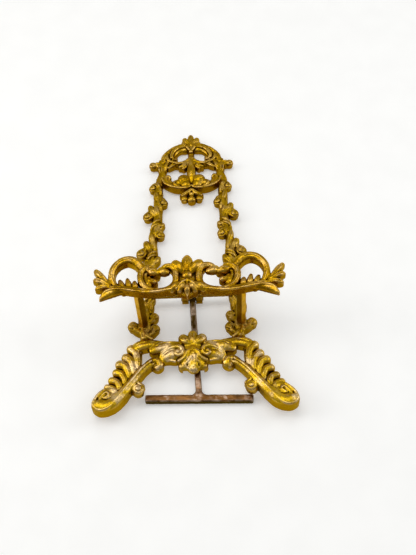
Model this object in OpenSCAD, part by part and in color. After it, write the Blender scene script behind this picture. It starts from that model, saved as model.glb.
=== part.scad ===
// Folding easel for a small album or picture, laid on its back with the leg folded.
//
// Every piece is drawn in the frame's own plane: x runs across, y runs from the toes
// up to the finial, and z runs from the flat back of the castings out to the front.
// lay() then sets the whole easel down on its folded leg and on its finial.

/* [Frame castings] */
// Height of the frame from the toes to the tip of the finial
frame_h = 178.5; // [176:0.5:182]
// Thickness of the crest and of the side rails
casting_t = 5; // [4.5:0.25:6]
// Thickness of the foot casting
foot_t = 6; // [5.5:0.25:6.5]
// Width of a side rail
rail_w = 4.8; // [4.4:0.1:5.4]
// Outer radius of the ring in the crest
ring_r = 18.8; // [18:0.2:19.4]

/* [Ledge] */
// Clear depth between the front of the rails and the back of the ledge
album_gap = 25.5; // [18:0.5:32]
// Thickness of the ledge casting
ledge_t = 5.5; // [5:0.25:6.5]
// Side of the square arms
arm_side = 4.4; // [4:0.1:4.8]
// Distance between the middles of the two arms
arm_spacing = 47.6; // [47:0.1:48]

/* [Back leg] */
// Length of the bar at the end of the leg
bar_len = 50.5; // [40:0.5:56]
// Side of that bar
bar_side = 3.6; // [3.2:0.1:4]
// Thickness of the leg's shaft
shaft_side = 3; // [2.6:0.1:3.2]
// Play of the folded leg to one side, in degrees
leg_skew = 2.6; // [0:0.2:3]
// How far the bar is brazed out of square with the shaft, in degrees
bar_cant = 4.4; // [0:0.2:5]
// How far the leg opens, in degrees
leg_open = 50; // [30:1:50]
// Radius of the hinge pin
pin_r = 1; // [0.8:0.1:1.2]

/* [Hidden] */
$fn = 48;

// Fits and small clearances
pin_play = 0.06;
leg_gap = 0.4;
leg_hollow_w = 10;
leg_hollow_t = 2.2;
over = 0.5;

// Hinge: the pin runs across behind the crossbar
hinge_y = 64.8;
hinge_z = 0.2;
ear_r = 2.6;
ear_inner = shaft_side / 2 + 0.35;
ear_outer = ear_inner + 3.3;
crossbar_z = 2.9;
crossbar_h = 3;
crossbar_t = 2.4;

// The folded leg ends below the foot casting
bar_y = 9.6;
bar_z = -(bar_side / 2 + leg_gap);
leg_len = norm([hinge_y - bar_y, hinge_z - bar_z]);
leg_fall = atan2(hinge_z - bar_z, hinge_y - bar_y);

// Heel of the leg's eye, which meets the crossbar when the leg is open
stop_gap = 0.08;
full_turn = leg_open + leg_fall;
heel = (crossbar_z - hinge_z - stop_gap - shaft_side / 2 * cos(full_turn)) / sin(full_turn);

// The easel lies on the leg's bar and on the back of the finial
tilt = asin((bar_side + leg_gap) / (frame_h - bar_y));
lift = frame_h * sin(tilt);
toe_y = 0.5;
toe_r = 5.5;
mid_y = (toe_y + frame_h) / 2 * cos(tilt) + casting_t / 2 * sin(tilt);

// Lap joints and screws
lap_t = 2.4;
screw_r = 0.8;
screw_head_r = 1.5;
screw_head_t = 0.7;
arm_x = arm_spacing / 2;
arm_y = 47.8;
arm_z = casting_t;
ledge_z = arm_z + album_gap;
tenon_r = 1.3;
tenon_len = 3;
tenon_pin_r = 1;
ring_y = 152.5;
crest_lap = [18.2, 143.5];
side_knob = [21.4, 154.7];
foot_lap = [23, 36.5];
lap_reach = 3.2;
lap_play = 0.05;

// Centre line of the right rail, from the foot casting to the crest
rail_line = [[23, 42], [22.8, 50], [21.5, 58], [21.5, 75], [20.5, 91], [20.4, 101],
    [18.9, 110], [17.7, 120], [17.9, 130], [17.9, 136]];

module lay() {
    translate([0, -mid_y, lift])
        rotate([-tilt, 0, 0])
            children();
}

// Both halves of a piece that is the same left and right
module both_sides() {
    children();
    mirror([1, 0, 0])
        children();
}

// Flat outlines are extruded to plates of a given thickness
module plate(t, z = 0) {
    translate([0, 0, z])
        linear_extrude(height = t)
            children();
}

module spot(at, r) {
    translate([at.x, at.y])
        circle(r = r);
}

module disc(at, r, t, z = 0) {
    translate([at.x, at.y, z])
        cylinder(r = r, h = t);
}

// Domed cap on the front of a round knob
module cap(at, r, rise) {
    translate([at.x, at.y, casting_t - over])
        cylinder(r1 = r - 0.2, r2 = 0.6 * r, h = rise + over);
}

// A straight strip between two points
module strip(a, b, w) {
    d = b - a;
    translate([a.x, a.y])
        rotate(atan2(d.y, d.x))
            translate([0, -w / 2])
                square([norm(d), w]);
}

// A bent strip along a line of points, with round corners and ends
module band(line, w) {
    for (i = [0 : len(line) - 2])
        strip(line[i], line[i + 1], w);
    for (p = line)
        spot(p, w / 2 + 0.12);
}

// A flat arc, such as a C-scroll, from one angle to another
module arc(at, r, w, from, to) {
    far = 2 * (r + w);
    step = (to - from) / 4;
    translate([at.x, at.y])
        intersection() {
            difference() {
                circle(r = r + w / 2);
                circle(r = r - w / 2);
            }
            polygon(concat([[0, 0]], [for (i = [0 : 4])
                [far * cos(from + i * step), far * sin(from + i * step)]]));
        }
}

// A round-headed screw driven from the back, its head flush with z = 0
module screw(at, len) {
    disc(at, screw_head_r, screw_head_t);
    disc(at, screw_r, len);
}

module screw_hole(at, len) {
    disc(at, screw_head_r, screw_head_t + over, -over);
    disc(at, screw_r, len + over, -over);
}

// Outline of the tongue that runs from the end of a rail under the next casting
module tongue(from, at, play = 0) {
    up = sign(at.y - from.y);
    w = rail_w - 0.4 + 2 * play;
    strip(from, at + [0, up * (lap_reach + play)], w);
}

// The seat cut for a tongue, and the blind hole for its screw
module tongue_seat(from, at, depth) {
    plate(lap_t + over, -over)
        tongue(from, at, lap_play);
    disc(at, screw_r, depth + over, -over);
}

module crest_outline() {
    difference() {
        spot([0, ring_y], ring_r);
        spot([0, ring_y], ring_r - 4);
    }
    // pierced mask in the upper half of the ring
    intersection() {
        spot([0, ring_y], ring_r - 1);
        translate([-20, ring_y + 0.4])
            square([40, 20]);
    }
    // crown of three leaves on the ring
    spot([0, 171], 3.6);
    band([[0, 171], [0, frame_h - 1.77]], 3.3);
    // spear leaf, rosette and pendant
    band([[0, 158], [0, 140]], 3.4);
    spot([0, 137.5], 3.2);
    spot([0, 129.8], 3);
    both_sides() {
        band([[2.4, 171.5], [3.3, 174.6]], 3);
        spot([5.2, 141.5], 3.3);
        spot([9.8, 141], 2.8);
        spot([4.4, 132], 2.6);
        band([[15.5, 154.5], [21.4, 154.5]], 3);
        spot(side_knob, 3);
        spot([18.4, 142.5], 3.1);
    }
}

module crest() {
    color("darkgoldenrod")
        lay()
            difference() {
                union() {
                    plate(casting_t)
                        crest_outline();
                    both_sides()
                        cap(side_knob, 3, 1.6);
                }
                both_sides() {
                    plate(casting_t + 2 * over, -over)
                        band([[5, 160], [5, 162.2]], 5.4);
                    tongue_seat(rail_line[9], crest_lap, casting_t - 1.2);
                }
            }
}

// Knobs and leaf tips along the right rail: [x, y, radius]
rail_knobs = [[20.6, 136.4, 2.9], [15, 126.6, 2.9], [23.1, 117.4, 2.9], [15.7, 110.8, 2.2],
    [16.4, 104.4, 2.9], [23, 98, 2.4], [25.9, 91.8, 3.1], [17.8, 87.4, 2.6], [18.2, 78, 2.6],
    [18.4, 52, 2.6], [18.4, 45.3, 2.9], [29.3, 47.3, 3.2]];

module rail_outline() {
    pad = arm_side + 0.6;
    band(rail_line, rail_w);
    translate([arm_x - pad / 2, arm_y - pad / 2])
        square(pad);
    band([[24, 46.5], [29.3, 47.3]], 2.6);
    for (k = rail_knobs)
        spot(k, k[2]);
}

module rail() {
    difference() {
        union() {
            plate(casting_t)
                rail_outline();
            plate(lap_t) {
                tongue(rail_line[9], crest_lap);
                tongue(rail_line[0], foot_lap);
            }
            for (k = rail_knobs)
                cap(k, k[2], 0.9);
        }
        screw_hole(crest_lap, casting_t);
        screw_hole(foot_lap, casting_t);
        screw_hole([arm_x, arm_y], casting_t + over);
        translate([0, hinge_y, crossbar_z + crossbar_t / 2])
            rotate([0, 90, 0])
                cylinder(r = tenon_pin_r, h = rail_line[3].x + 0.1);
    }
}

module left_rail() {
    color("goldenrod")
        lay()
            mirror([1, 0, 0])
                rail();
}

module right_rail() {
    color("goldenrod")
        lay()
            rail();
}

module crossbar() {
    half = rail_line[3].x - rail_w / 2;
    ear_t = ear_outer - ear_inner;
    color("goldenrod")
        lay()
            difference() {
                union() {
                    translate([-half, hinge_y - crossbar_h / 2, crossbar_z])
                        cube([2 * half, crossbar_h, crossbar_t]);
                    both_sides() {
                        // tenon in the rail
                        translate([half - over, hinge_y, crossbar_z + crossbar_t / 2])
                            rotate([0, 90, 0])
                                cylinder(r = tenon_pin_r, h = 2 + over);
                        // ear of the hinge
                        translate([ear_inner, hinge_y, hinge_z])
                            rotate([0, 90, 0])
                                cylinder(r = ear_r, h = ear_t);
                        translate([ear_inner, hinge_y - 2, hinge_z])
                            cube([ear_t, 4, crossbar_z - hinge_z + over]);
                    }
                }
                translate([-ear_outer - 1, hinge_y, hinge_z])
                    rotate([0, 90, 0])
                        cylinder(r = pin_r, h = 2 * ear_outer + 2);
            }
}

module foot_outline() {
    // long curved foot with its two inner scrolls
    band([[16.6, 25], [20, 26.2], [25, 21.4], [30, 14], [36, 7]], 5);
    spot([16.6, 24.6], 3.3);
    spot([26.6, 13.2], 3.6);
    strip([35, 8.5], [42, toe_y + toe_r], 8);
    band([[45, 9.5], [42.6, 14]], 4);
    // acanthus down the outer edge
    band([[28.6, 34.4], [29.4, 24], [33, 17], [38, 10]], 4.6);
    spot([33.2, 27.2], 2.9);
    spot([35.6, 22.2], 2.8);
    spot([37.6, 17.4], 2.6);
    // arch up to the medallion, and its lower leaf
    band([[28.6, 34.6], [24, 36.8], [16, 35.8], [8, 34.6]], 4.8);
    band([[10, 29.4], [14.6, 28.4]], 3.4);
}

module medallion_outline() {
    spot([0, 32.4], 7.2);
    spot([0, 40.4], 3.4);
    spot([0, 25], 3.6);
    both_sides() {
        spot([5, 38.8], 3);
        spot([4, 26.4], 3.1);
    }
}

module foot_casting() {
    color("gold")
        lay()
            difference() {
                union() {
                    both_sides() {
                        plate(foot_t)
                            foot_outline();
                        disc([42, toe_y + toe_r], toe_r, foot_t + 1);
                        disc([7.4, 31.8], 4.7, foot_t + 0.6);
                    }
                    plate(foot_t + 1.6)
                        medallion_outline();
                }
                // hollow back that clears the folded leg
                translate([-leg_hollow_w / 2, 18, -over])
                    cube([leg_hollow_w, 30, leg_hollow_t + over]);
                both_sides()
                    tongue_seat(rail_line[0], foot_lap, casting_t);
            }
}

module ledge_outline() {
    // bottom bar with its pointed end
    band([[0, 47.4], [20, 47.2], [30, 48.4], [37.5, 47.6], [41.4, 44.6]], 3.4);
    // inner C-scroll and its two rolled heads
    arc([12, 53.4], 5.6, 2.8, 60, 280);
    spot([12, 58.4], 2.9);
    spot([17, 58.4], 2.3);
    // crescent
    arc([18.6, 55.2], 5.6, 3, -90, 70);
    // large open arch
    arc([30, 58.8], 7.3, 3.4, -20, 190);
    band([[37, 56.6], [38.4, 48.6]], 3.4);
    band([[22.8, 57.6], [22.4, 61.6]], 3);
    // small upright leaves inside the arch
    for (leaf = [[25.6, 51.2], [29.6, 53], [33.4, 52.4]])
        band([[leaf.x, 48], leaf], 2.6);
    // spray of leaves at the end
    for (leaf = [[44.4, 58.8], [43.8, 54.4], [43, 50]])
        band([[38.6, 49.4], leaf], 3.4);
}

module palmette_outline() {
    spot([0, 54.4], 5.2);
    band([[0, 58], [0, 65.4]], 5.2);
    spot([0, 49], 4.4);
    both_sides()
        band([[3, 55], [5.2, 61.4]], 4.4);
}

module ledge() {
    color("darkgoldenrod")
        lay()
            difference() {
                union() {
                    plate(ledge_t, ledge_z)
                        both_sides()
                            ledge_outline();
                    plate(ledge_t + 1, ledge_z)
                        palmette_outline();
                }
                both_sides()
                    disc([arm_x, 47.6], tenon_r, tenon_len + 0.05 + over, ledge_z - over);
            }
}

module arm() {
    difference() {
        union() {
            translate([arm_x - arm_side / 2, arm_y - arm_side / 2, arm_z])
                cube([arm_side, arm_side, album_gap]);
            disc([arm_x, 47.6], tenon_r, tenon_len + over, ledge_z - over);
        }
        disc([arm_x, arm_y], screw_r, 6, arm_z - over);
    }
}

module left_arm() {
    color("saddlebrown")
        lay()
            mirror([1, 0, 0])
                arm();
}

module right_arm() {
    color("saddlebrown")
        lay()
            arm();
}

// Rounded square rod along z
module rod(side, len) {
    corner = side * 0.2;
    core = side - 2 * corner;
    linear_extrude(height = len) {
        square([side, core], center = true);
        square([core, side], center = true);
        for (a = [-1, 1], b = [-1, 1])
            translate([a * core / 2, b * core / 2])
                circle(r = corner);
    }
}

// Concave fillet between the shaft and the bar
module junction_fillet() {
    r = 2.4;
    difference() {
        translate([shaft_side / 2 - over, bar_side / 2 - over, -shaft_side / 2])
            cube([r + over, r + over, shaft_side]);
        translate([shaft_side / 2 + r, bar_side / 2 + r, -shaft_side])
            cylinder(r = r, h = 2 * shaft_side);
    }
}

module back_leg() {
    eye_r = 2.3;
    color("peru")
        lay()
            translate([0, hinge_y, hinge_z])
                rotate([leg_fall, 0, 0])
                    difference() {
                        union() {
                            // eye on the pin, with the square heel that stops the leg
                            translate([-shaft_side / 2, 0, 0])
                                rotate([0, 90, 0])
                                    cylinder(r = eye_r, h = shaft_side);
                            translate([-shaft_side / 2, 0, -shaft_side / 2])
                                cube([shaft_side, heel, shaft_side]);
                            rotate([0, 0, leg_skew])
                                translate([0, -leg_len, 0])
                                    leg_rods();
                        }
                        translate([-shaft_side, 0, 0])
                            rotate([0, 90, 0])
                                cylinder(r = pin_r + pin_play, h = 2 * shaft_side);
                    }
}

module leg_rods() {
    rotate([-90, 0, 0])
        rod(shaft_side, leg_len - pin_r - 1);
    rotate([0, 0, -bar_cant])
        translate([-bar_len / 2, 0, 0])
            rotate([0, 90, 0])
                rod(bar_side, bar_len);
    rotate([0, 0, -bar_cant / 2])
        both_sides()
            junction_fillet();
}

module hinge_pin() {
    color("silver")
        lay()
            translate([-ear_outer - 0.4, hinge_y, hinge_z])
                rotate([0, 90, 0])
                    cylinder(r = pin_r, h = 2 * ear_outer + 0.8);
}

module crest_screws() {
    color("silver")
        lay()
            both_sides()
                screw(crest_lap, casting_t - 1.3);
}

module foot_screws() {
    color("silver")
        lay()
            both_sides()
                screw(foot_lap, casting_t - 0.2);
}

module arm_screws() {
    color("silver")
        lay()
            both_sides()
                screw([arm_x, arm_y], casting_t + 5.2);
}

crest();
left_rail();
right_rail();
crossbar();
foot_casting();
ledge();
left_arm();
right_arm();
back_leg();
hinge_pin();
crest_screws();
foot_screws();
arm_screws();
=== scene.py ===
"""Looks of the folding brass easel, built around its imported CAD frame.

The castings are modelled the way a founder's pattern is: tubes, lobes and curls of wax are added
to and cut from a block of distance values, and the block's surface becomes the mesh. Every place
is in millimetres in the easel's own plane (x across, y from the toes to the finial, z out of the
front), and to_part() lays the plane down as the CAD does.
"""

import math

import bpy
import numpy as np
from mathutils import Matrix, Vector


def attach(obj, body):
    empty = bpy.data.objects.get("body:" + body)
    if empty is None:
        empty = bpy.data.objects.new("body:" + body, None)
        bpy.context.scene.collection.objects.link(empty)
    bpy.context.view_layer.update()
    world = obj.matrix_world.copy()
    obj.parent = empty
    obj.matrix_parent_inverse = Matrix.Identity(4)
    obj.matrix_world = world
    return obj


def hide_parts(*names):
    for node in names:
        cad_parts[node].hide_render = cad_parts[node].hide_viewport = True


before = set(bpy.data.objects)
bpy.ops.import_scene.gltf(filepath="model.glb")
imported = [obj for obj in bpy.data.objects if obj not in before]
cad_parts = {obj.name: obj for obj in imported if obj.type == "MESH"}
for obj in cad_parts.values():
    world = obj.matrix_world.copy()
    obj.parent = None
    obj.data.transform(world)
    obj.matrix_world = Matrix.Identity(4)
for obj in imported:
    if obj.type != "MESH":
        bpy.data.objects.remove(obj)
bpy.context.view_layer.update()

# ---------------------------------------------------------------- dimensions, mm, as in the CAD
FRAME_H = 178.5  # top of the finial
CASTING_T = 5.0  # thickness of the castings
TOE_Y = 0.5  # lowest point of the toes
HINGE = (64.8, 0.2)  # y and z of the hinge pin
EAR_R = 2.6
EAR_X = 3.5
EAR_T = 3.24
PIN_R = 1.0
CROSSBAR_H = 3.0
SHAFT_SIDE = 3.0  # the leg's shaft
EYE_R = 2.25  # the eye at the top of the shaft
BAR_SIDE = 3.6  # the leg's T-bar: its side, length, place and slant in degrees
BAR_LEN = 50.5
BAR_Y = 9.6
BAR_CANT = 4.4
LEG_GAP = 0.4  # between the folded T-bar and the castings
LEG_SKEW = math.radians(2.6)  # the leg hangs a little to one side
ARM_X = 23.8
ARM_Y = 47.8
ARM_SIDE = 4.4
LEDGE_Z = 30.5  # back of the ledge casting

# fitting: how far the crest, the toes and the middle of the ledge stand to the right
CREST_SHIFT = 0.6
TOE_SHIFT = 0.9
LEDGE_SHIFT = -0.9
MIDDLE_W = 15  # the ledge's shift dies away over this width
TOE_TOP = 26  # the toes' shift starts here and grows over a height of TOE_H
TOE_H = 18

TILT = math.asin((BAR_SIDE + LEG_GAP) / (FRAME_H - BAR_Y))
LIFT = FRAME_H * math.sin(TILT)
MID_Y = (TOE_Y + FRAME_H) / 2 * math.cos(TILT) + CASTING_T / 2 * math.sin(TILT)

LAY = (Matrix.Scale(0.001, 4) @ Matrix.Translation((0, -MID_Y, LIFT))
       @ Matrix.Rotation(-TILT, 4, "X"))


def to_part(points):
    """Millimetres in the easel's plane to metres in the part's own frame."""
    m = np.array(LAY)
    return np.asarray(points) @ m[:3, :3].T + m[:3, 3]


# ---------------------------------------------------------------- wax: shapes as distance fields
VOXEL = 0.26
COARSE_VOXEL = 0.3  # for the two largest blocks
FAR = 9.0  # distance that means "nothing near"
MARGIN = 1.2  # how far around a tube its distances are worked out


def smooth_line(points, steps=6):
    """A Catmull-Rom curve through rows of x, y, z, radius."""
    p = np.asarray(points, float)
    p = np.vstack([2 * p[0] - p[1], p, 2 * p[-1] - p[-2]])
    t = np.linspace(0, 1, steps, endpoint=False)[:, None]
    out = []
    for a, b, c, d in zip(p[:-3], p[1:-2], p[2:-1], p[3:]):
        out.append(b + 0.5 * t * (c - a + t * (2 * a - 5 * b + 4 * c - d + t * (3 * (b - c) + d - a))))
    out.append(p[-2][None])
    line = np.vstack(out)
    line[:, 3] = np.maximum(line[:, 3], 0.15)
    return line


def spiral(centre, start, turns, r0, r1, z0, z1, w0, w1, steps=28):
    """Rows of x, y, z, radius along a spiral; start is in degrees and turns is signed."""
    t = np.linspace(0, 1, steps)
    a = math.radians(start) + t * turns * 2 * math.pi
    r = r0 + (r1 - r0) * t ** 0.8
    return np.stack([centre[0] + r * np.cos(a), centre[1] + r * np.sin(a),
                     z0 + (z1 - z0) * t, w0 + (w1 - w0) * t], 1)


def raised(line, lift, radius):
    """A copy of a line moved out in z, with a new radius."""
    out = np.array(line, float)
    out[:, 2] += lift
    out[:, 3] = radius
    return out


def slices(spans):
    return tuple(slice(a, b) for a, b in spans)


def soft_min(a, b, soft):
    """The smaller of two fields, with a fillet of about the size soft where they meet."""
    h = np.maximum(soft - np.abs(a - b), 0) / soft
    return np.minimum(a, b) - h * h * soft / 4


class Wax:
    """A block of distance values in which a casting is modelled."""

    def __init__(self, low, high, mirrored=False, voxel=VOXEL):
        pad = 3 * voxel
        low = np.array(low, float) - pad
        high = np.array(high, float) + pad
        if mirrored:
            low[0] = voxel / 2
        count = np.ceil((high - low) / voxel).astype(int) + 1
        self.mirrored = mirrored
        self.voxel = voxel
        self.low = low
        self.axes = [low[i] + voxel * np.arange(count[i]) for i in range(3)]
        self.field = np.full(count, FAR, np.float32)

    def window(self, low, high):
        """First and last voxel numbers, along each axis, of the part between two corners."""
        spans = []
        for axis, a, b in zip(self.axes, low, high):
            spans.append((max(np.searchsorted(axis, a), 0), min(np.searchsorted(axis, b), len(axis))))
        return spans

    def grid(self, spans):
        """The x, y and z of a window's voxels."""
        return np.meshgrid(*(axis[a:b].astype(np.float32) for axis, (a, b) in zip(self.axes, spans)),
                           indexing="ij", sparse=True)

    def tube(self, line, flat, walls=False):
        """Distance to a tube along a line, its section squashed in z by flat.

        With walls its sides run straight down to the back of the casting.
        """
        line = np.asarray(line, float)
        reach = line[:, 3].max() + MARGIN
        low = line[:, :3].min(0) - reach
        if walls:
            low[2] = self.low[2]
        whole = self.window(low, line[:, :3].max(0) + reach)
        shape = [b - a for a, b in whole]
        if min(shape) <= 0:
            return None
        d = np.full(shape, FAR, np.float32)
        for a, b in zip(line[:-1], line[1:]):
            near = max(a[3], b[3]) + MARGIN
            low = np.minimum(a[:3], b[:3]) - near
            high = np.maximum(a[:3], b[:3]) + near
            if walls:
                low[2] = self.low[2]
            part = self.window(low, high)
            if min(q - p for p, q in part) <= 0:
                continue
            x, y, z = self.grid(part)
            x = x - a[0]
            y = y - a[1]
            step = b[:3] - a[:3]
            span = float(step[:2] @ step[:2]) + 1e-9
            t = np.clip((x * step[0] + y * step[1]) / span, 0, 1)
            z = (z - a[2] - t * step[2]) / flat
            if walls:
                z = np.maximum(z, 0)
            away = np.sqrt((x - t * step[0]) ** 2 + (y - t * step[1]) ** 2 + z * z)
            away -= a[3] + t * (b[3] - a[3])
            cut = slices((p - w[0], q - w[0]) for (p, q), w in zip(part, whole))
            d[cut] = np.minimum(d[cut], away)
        return slices(whole), d

    def merge(self, shape, soft):
        """Adds a shape."""
        if shape is not None:
            where, d = shape
            self.field[where] = soft_min(self.field[where], d, soft)

    def carve(self, shape, soft):
        """Takes a shape away."""
        if shape is not None:
            where, d = shape
            self.field[where] = -soft_min(-self.field[where], d, soft)

    def add(self, points, flat=1.0, soft=0.4, steps=6, walls=True):
        """Adds a tube along a smooth curve and returns that curve."""
        line = smooth_line(points, steps) if steps else np.asarray(points, float)
        self.merge(self.tube(line, flat, walls), soft)
        return line

    def cut(self, line, flat=1.0, soft=0.25, through=False):
        """Carves a groove along a line, or right through to the back."""
        self.carve(self.tube(line, flat, through), soft)

    def groove(self, points, flat=1.0):
        """Carves a groove along a smooth curve."""
        self.cut(smooth_line(points), flat)

    def ball(self, centre, r, flat=1.0, soft=0.4, walls=True):
        x, y, z = centre
        self.merge(self.tube([[x, y, z, r], [x + 0.01, y, z, r]], flat, walls), soft)

    def box(self, low, high, round_r=0.4, soft=0.3, cut=False, turn=0.0):
        """A rounded box, turned about its own middle by turn degrees in the plane."""
        low = np.array(low, float)
        high = np.array(high, float)
        swing = 1.5 + abs(math.sin(math.radians(turn))) * (high - low).max() / 2
        spans = self.window(low - swing, high + swing)
        x, y, z = self.grid(spans)
        mid = (low + high) / 2
        if turn:
            c, d = math.cos(math.radians(turn)), math.sin(math.radians(turn))
            x, y = (mid[0] + c * (x - mid[0]) + d * (y - mid[1]),
                    mid[1] - d * (x - mid[0]) + c * (y - mid[1]))
        half = (high - low) / 2 - round_r
        q = [np.abs(c - m) - h for c, m, h in zip((x, y, z), mid, half)]
        out = np.sqrt(sum(np.maximum(c, 0) ** 2 for c in q))
        d = out + np.minimum(np.maximum(np.maximum(q[0], q[1]), q[2]), 0) - round_r
        change = self.carve if cut else self.merge
        change((slices(spans), d.astype(np.float32)), soft)

    def flat_back(self, level, soft=0.5):
        """Cuts everything off behind z = level, as a one-sided mould does."""
        z = self.axes[2].astype(np.float32)[None, None, :]
        self.field = -soft_min(-self.field, z - level, soft)

    def leaf(self, points, flat=0.8, vein=0.32, soft=0.3):
        """A leaf or lobe with a groove down its middle."""
        line = self.add(points, flat, soft)
        top = raised(line, line[:, 3] * flat + 0.06, vein)
        n = len(top)
        self.cut(top[n // 6: n - n // 8])
        return line

    def ribs(self, line, flat, offsets, r=0.3, depth=0.05):
        """Grooves that run along a tube, side by side."""
        line = np.asarray(line, float)
        along = np.gradient(line[:, :2], axis=0)
        along /= np.linalg.norm(along, axis=1)[:, None] + 1e-9
        side = np.stack([-along[:, 1], along[:, 0]], 1)
        for offset in offsets:
            groove = np.array(line)
            groove[:, :2] += side * (offset * line[:, 3])[:, None]
            groove[:, 2] += flat * line[:, 3] * math.sqrt(max(1 - offset * offset, 0)) + depth
            groove[:, 3] = r
            self.cut(groove)

    def knob(self, centre, r, z, start, turn):
        """A rolled scroll end: a ball with a spiral groove."""
        self.ball((*centre, z), r, 0.9, 0.3, walls=False)
        self.ball((*centre, 0.55 * z), 0.86 * r, 0.9, 0.5)
        self.cut(spiral(centre, start, turn, 0.86 * r, 0.2 * r, z + 0.48 * r, z + 0.95 * r,
                        0.3, 0.24))

    def finished(self, flip=False):
        """The whole field and its low corner, mirrored or with its mirrored half put back."""
        field, low = self.field, self.low.copy()
        if self.mirrored or flip:
            low[0] = -low[0] - (field.shape[0] - 1) * self.voxel
        if self.mirrored:
            field = np.concatenate([field[::-1], field], 0)
        elif flip:
            field = field[::-1]
        return field, low


# ---------------------------------------------------------------- from wax to mesh
CORNERS = np.array([(i, j, k) for i in (0, 1) for j in (0, 1) for k in (0, 1)])
EDGES = [(a, b) for a in range(8) for b in range(a + 1, 8)
         if np.abs(CORNERS[a] - CORNERS[b]).sum() == 1]


def surface_net(field):
    """Vertices, in voxels, and quads of the surface where the field is zero."""
    solid = field < 0
    cells = np.zeros([n - 1 for n in field.shape], np.int8)
    for i, j, k in CORNERS:
        cells += solid[i:cells.shape[0] + i, j:cells.shape[1] + j, k:cells.shape[2] + k]
    active = (cells > 0) & (cells < 8)
    number = np.full(cells.shape, -1, np.int32)
    where = np.argwhere(active)
    number[active] = np.arange(len(where))
    values = np.stack([field[tuple((where + c).T)] for c in CORNERS], 1)
    total = np.zeros((len(where), 3))
    hits = np.zeros(len(where))
    for a, b in EDGES:
        va, vb = values[:, a], values[:, b]
        crossed = (va < 0) != (vb < 0)
        t = np.where(crossed, va / np.where(crossed, va - vb, 1), 0)
        total += crossed[:, None] * (CORNERS[a] + t[:, None] * (CORNERS[b] - CORNERS[a]))
        hits += crossed
    points = where + total / hits[:, None]
    quads = []
    for axis in range(3):
        u, v = (axis + 1) % 3, (axis + 2) % 3
        low = [slice(1, n - 1) for n in field.shape]
        low[axis] = slice(0, field.shape[axis] - 1)
        high = list(low)
        high[axis] = slice(1, field.shape[axis])
        a, b = solid[tuple(low)], solid[tuple(high)]
        for crossing, order in ((a & ~b, 1), (b & ~a, -1)):
            base = np.argwhere(crossing)
            base[:, u] += 1
            base[:, v] += 1
            ring = []
            for du, dv in ((-1, -1), (0, -1), (0, 0), (-1, 0))[::order]:
                cell = base.copy()
                cell[:, u] += du
                cell[:, v] += dv
                ring.append(number[tuple(cell.T)])
            quads.append(np.stack(ring, 1))
    return points, np.concatenate(quads)


def sample(field, points):
    """Trilinear values of a field at points given in voxels."""
    top = np.array(field.shape) - 1.001
    p = np.clip(points, 0, top)
    i = p.astype(int)
    f = p - i
    out = np.zeros(len(points))
    for c in CORNERS:
        weight = np.prod(np.where(c, f, 1 - f), axis=1)
        out += weight * field[tuple((i + c).T)]
    return out


def blur(block, reach):
    """Two box blurs along each axis."""
    width = 2 * reach + 1
    for axis in range(3):
        for _ in range(2):
            pads = [(0, 0)] * 3
            pads[axis] = (reach + 1, reach)
            run = np.cumsum(np.pad(block, pads), axis=axis, dtype=np.float32)
            n = block.shape[axis]
            block = (np.take(run, range(width, width + n), axis)
                     - np.take(run, range(0, n), axis)) / width
    return block


def point_normals(points, quads):
    """The outward direction at each point."""
    n = np.cross(points[quads[:, 2]] - points[quads[:, 0]], points[quads[:, 3]] - points[quads[:, 1]])
    out = np.zeros_like(points)
    for k in range(4):
        for axis in range(3):
            out[:, axis] += np.bincount(quads[:, k], n[:, axis], len(points))
    return out / (np.linalg.norm(out, axis=1)[:, None] + 1e-12)


def ripple(points, length, seed):
    """A smooth random number at each point, about -1 to 1, with the given wave length."""
    own = np.random.default_rng(seed)
    total = np.zeros(len(points))
    for _ in range(14):
        way = own.normal(size=3)
        way *= 2 * math.pi / (length * own.uniform(0.7, 1.6) * np.linalg.norm(way))
        total += np.sin(points @ way + own.uniform(0, 2 * math.pi))
    return total / math.sqrt(14) / 1.2


def make_mesh(name, points, quads, colours=None):
    """A smooth mesh object, with its patina and painted shade values if it has any."""
    mesh = bpy.data.meshes.new(name)
    mesh.vertices.add(len(points))
    mesh.vertices.foreach_set("co", np.asarray(points, np.float32).ravel())
    mesh.loops.add(quads.size)
    mesh.loops.foreach_set("vertex_index", quads.ravel().astype(np.int32))
    mesh.polygons.add(len(quads))
    mesh.polygons.foreach_set("loop_start", np.arange(0, quads.size, 4, dtype=np.int32))
    mesh.polygons.foreach_set("use_smooth", np.ones(len(quads), bool))
    mesh.update(calc_edges=True)
    mesh.validate()
    if colours is not None:
        layer = mesh.attributes.new("patina_and_side_shade", "FLOAT_COLOR", "POINT")
        layer.data.foreach_set("color", np.asarray(colours, np.float32).ravel())
    obj = bpy.data.objects.new(name, mesh)
    bpy.context.scene.collection.objects.link(obj)
    return obj


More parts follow.
